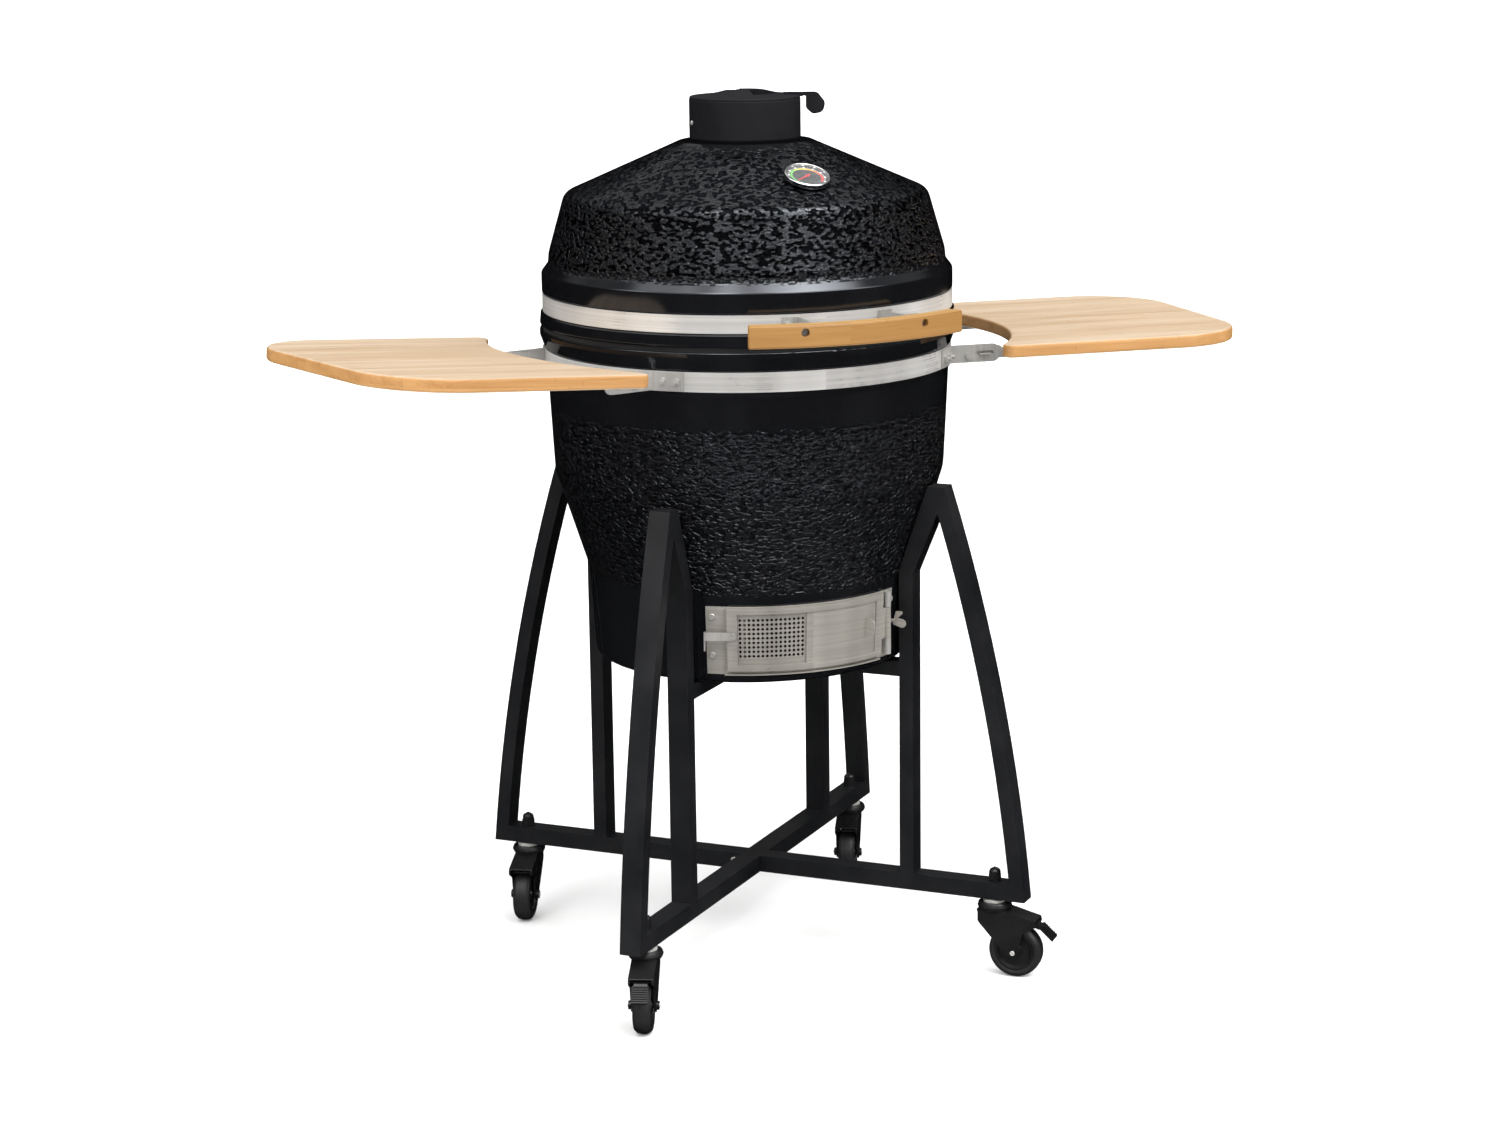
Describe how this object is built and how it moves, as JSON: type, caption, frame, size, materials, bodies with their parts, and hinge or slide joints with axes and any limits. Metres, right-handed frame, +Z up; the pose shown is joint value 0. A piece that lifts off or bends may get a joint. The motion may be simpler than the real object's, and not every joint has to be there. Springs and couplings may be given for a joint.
{
  "type": "kamado grill",
  "caption": "Egg-shaped black ceramic kamado grill with hinged dome, banded bamboo handle and folding side shelves, draft door and top vent, on an arched tube stand with casters.",
  "frame": {"origin": "on the floor under the body's own axis", "axes": "+Z up along the body's axis, -Y towards the draft door, +X towards the right shelf"},
  "size_m": [1.3457, 0.6926, 1.207],
  "materials": {
    "glazed_ceramic": "glossy near-black glaze, dimpled",
    "fire_ceramic": "matte unglazed refractory",
    "black_powder_coat": "satin black",
    "cast_iron_black": "matte black",
    "stainless": "brushed",
    "zinc_steel": "bright zinc",
    "bamboo": "oiled laminated bamboo",
    "felt": "grey-black felt",
    "tyre_black": "solid rubber",
    "dial_black": "printed dial",
    "needle_red": "red",
    "dial_glass": "clear"
  },
  "bodies": {
    "base": {"ash_door_hinge": "stainless", "base_band_studs": "stainless", "base_gasket": "felt", "base_shell": "glazed_ceramic", "caster_nuts": "black_powder_coat", "caster_stems": "zinc_steel", "charcoal_grate": "cast_iron_black", "draft_frame": "stainless", "draft_frame_screws": "stainless", "fire_ring": "fire_ceramic", "firebox": "fire_ceramic", "hinge_lower_bracket": "stainless", "hinge_pin": "stainless", "hinge_springs": "stainless", "lower_band": "stainless", "shelf_arm_plates": "stainless", "shelf_fold_pins": "stainless", "stand_bolt": "zinc_steel", "stand_cradle": "black_powder_coat", "stand_floor_cross": "black_powder_coat", "stand_legs": "black_powder_coat", "stand_posts": "black_powder_coat", "stand_struts": "black_powder_coat"},
    "lid": {"dome_shell": "glazed_ceramic", "dome_gasket": "felt", "upper_band": "stainless", "lid_band_studs": "stainless", "handle_bar": "bamboo", "handle_brackets": "stainless", "handle_bolts": "stainless", "thermometer_case": "zinc_steel", "thermometer_dial": "dial_black", "thermometer_glass": "dial_glass", "thermometer_stem": "stainless", "top_vent_housing": "cast_iron_black", "top_vent_screws": "stainless", "hinge_upper_bracket": "stainless"},
    "vent_disc": {"top_vent_disc": "cast_iron_black"},
    "needle": {"thermometer_needle": "needle_red"},
    "grate": {"cooking_grate": "stainless"},
    "left_shelf": {"left_shelf_board": "bamboo", "left_shelf_brackets": "stainless", "left_shelf_screws": "stainless"},
    "right_shelf": {"right_shelf_board": "bamboo", "right_shelf_brackets": "stainless", "right_shelf_screws": "stainless"},
    "ash_door": {"ash_door": "stainless", "ash_screen": "stainless"},
    "damper": {"draft_damper": "stainless"},
    "latch": {"door_latch": "stainless"},
    "fork_fl": {"caster_fl_fork": "black_powder_coat"},
    "wheel_fl": {"caster_fl_wheel": "tyre_black"},
    "pedal_fl": {"caster_fl_pedal": "black_powder_coat"},
    "fork_fr": {"caster_fr_fork": "black_powder_coat"},
    "wheel_fr": {"caster_fr_wheel": "tyre_black"},
    "pedal_fr": {"caster_fr_pedal": "black_powder_coat"},
    "fork_bl": {"caster_bl_fork": "black_powder_coat"},
    "wheel_bl": {"caster_bl_wheel": "tyre_black"},
    "fork_br": {"caster_br_fork": "black_powder_coat"},
    "wheel_br": {"caster_br_wheel": "tyre_black"}
  },
  "joints": [
    {"name": "lid_hinge", "type": "hinge", "parent": "base", "child": "lid", "pos_m": [-0.02384, 0.31711, 0.888], "axis": [-0.9972, -0.075, 0], "range_deg": [0, 68]},
    {"name": "vent_disc_turn", "type": "hinge", "parent": "lid", "child": "vent_disc", "pos_m": [0, 0, 1.196], "axis": [0, 0, 1], "range_deg": [0, 90]},
    {"name": "thermometer_needle_turn", "type": "hinge", "parent": "lid", "child": "needle", "pos_m": [0.01376, -0.18298, 1.09913], "axis": [-0.0299, 0.3976, -0.9171], "range_deg": [0, 240], "stiffness_Nm_per_rad": 0.00002},
    {"name": "grate_lift", "type": "slide", "parent": "base", "child": "grate", "axis": [0, 0, 1], "range_m": [0, 0.05]},
    {"name": "ash_door_swing", "type": "hinge", "parent": "base", "child": "ash_door", "pos_m": [0.12322, -0.19342, 0.495], "axis": [0, 0, 1], "range_deg": [0, 95]},
    {"name": "damper_slide", "type": "hinge", "parent": "ash_door", "child": "damper", "pos_m": [0, 0, 0.497], "axis": [0, 0, 1], "range_deg": [-23, 0]},
    {"name": "latch_turn", "type": "hinge", "parent": "ash_door", "child": "latch", "pos_m": [-0.10723, -0.2051, 0.503], "axis": [0.4633, 0.8862, 0], "range_deg": [0, 60]},
    {"name": "right_shelf_fold", "type": "hinge", "parent": "base", "child": "right_shelf", "pos_m": [0.27109, -0.02229, 0.848], "axis": [0.0819, 0.9966, 0], "range_deg": [0, 85]},
    {"name": "left_shelf_fold", "type": "hinge", "parent": "base", "child": "left_shelf", "pos_m": [-0.26471, -0.06257, 0.848], "axis": [0.23, -0.9732, 0], "range_deg": [0, 85]},
    {"name": "caster_fl_swivel", "type": "hinge", "parent": "base", "child": "fork_fl", "pos_m": [-0.25527, -0.25527, 0.1], "axis": [0, 0, 1], "continuous": true},
    {"name": "caster_fl_roll", "type": "hinge", "parent": "fork_fl", "child": "wheel_fl", "pos_m": [-0.26886, -0.28313, 0.0375], "axis": [0.8988, -0.4384, 0], "continuous": true},
    {"name": "caster_fl_brake", "type": "hinge", "parent": "fork_fl", "child": "pedal_fl", "pos_m": [-0.27806, -0.302, 0.0765], "axis": [0.8988, -0.4384, 0], "range_deg": [0, 12], "stiffness_Nm_per_rad": 0.5},
    {"name": "caster_fr_swivel", "type": "hinge", "parent": "base", "child": "fork_fr", "pos_m": [0.25527, -0.25527, 0.1], "axis": [0, 0, 1], "continuous": true},
    {"name": "caster_fr_roll", "type": "hinge", "parent": "fork_fr", "child": "wheel_fr", "pos_m": [0.2783, -0.27601, 0.0375], "axis": [0.6691, 0.7431, 0], "continuous": true},
    {"name": "caster_fr_brake", "type": "hinge", "parent": "fork_fr", "child": "pedal_fr", "pos_m": [0.29391, -0.29006, 0.0765], "axis": [0.6691, 0.7431, 0], "range_deg": [0, 12], "stiffness_Nm_per_rad": 0.5},
    {"name": "caster_bl_swivel", "type": "hinge", "parent": "base", "child": "fork_bl", "pos_m": [-0.25527, 0.25527, 0.1], "axis": [0, 0, 1], "continuous": true},
    {"name": "caster_bl_roll", "type": "hinge", "parent": "fork_bl", "child": "wheel_bl", "pos_m": [-0.27077, 0.22842, 0.0375], "axis": [0.866, -0.5, 0], "continuous": true},
    {"name": "caster_br_swivel", "type": "hinge", "parent": "base", "child": "fork_br", "pos_m": [0.25527, 0.25527, 0.1], "axis": [0, 0, 1], "continuous": true},
    {"name": "caster_br_roll", "type": "hinge", "parent": "fork_br", "child": "wheel_br", "pos_m": [0.24071, 0.22789, 0.0375], "axis": [0.8829, -0.4695, 0], "continuous": true}
  ]
}
